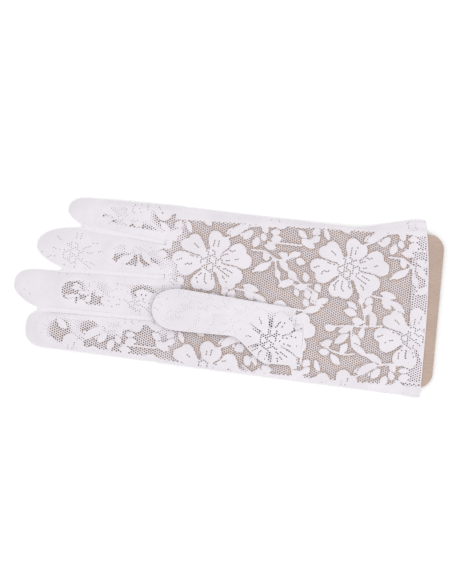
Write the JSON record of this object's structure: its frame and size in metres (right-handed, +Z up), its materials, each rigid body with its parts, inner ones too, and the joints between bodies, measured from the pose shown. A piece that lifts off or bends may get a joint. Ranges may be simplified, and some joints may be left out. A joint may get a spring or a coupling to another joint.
{
  "type": "lace glove on a display card",
  "caption": "Wrist-length floral lace wedding glove for the left hand, palm up, with the thumb folded over the palm and a hand-shaped card inside that slides out of the cuff.",
  "frame": {"origin": "middle of the whole object's underside, where it lies on a table", "axes": "+X from the fingertips to the cuff and the card's outer end, +Y to the little finger, +Z up out of the palm"},
  "size_m": [0.2414, 0.1007, 0.0049],
  "materials": {
    "lace": "matte",
    "sewing_thread": "satin",
    "card": "matte"
  },
  "bodies": {
    "glove": {"back_panel": "lace", "palm_panel": "lace", "cuff_hem_back": "lace", "cuff_hem_palm": "lace", "index_side_seam": "sewing_thread", "index_middle_seam": "sewing_thread", "middle_ring_seam": "sewing_thread", "ring_little_seam": "sewing_thread", "little_side_seam": "sewing_thread", "hem_stitches_back": "sewing_thread", "hem_stitches_palm": "sewing_thread", "thumb_hole_seam": "sewing_thread", "thumb_base_seam": "sewing_thread"},
    "thumb": {"thumb_back_panel": "lace", "thumb_palm_panel": "lace", "thumb_seam": "sewing_thread"},
    "card": {"display_card": "card"}
  },
  "joints": [
    {"name": "thumb_fold", "type": "hinge", "parent": "glove", "child": "thumb", "pos_m": [0.0453, -0.0225, 0.0042], "axis": [0, 1, 0], "range_deg": [0, 105]},
    {"name": "card_slide", "type": "slide", "parent": "glove", "child": "card", "axis": [1, 0, 0], "range_m": [0, 0.225]}
  ]
}
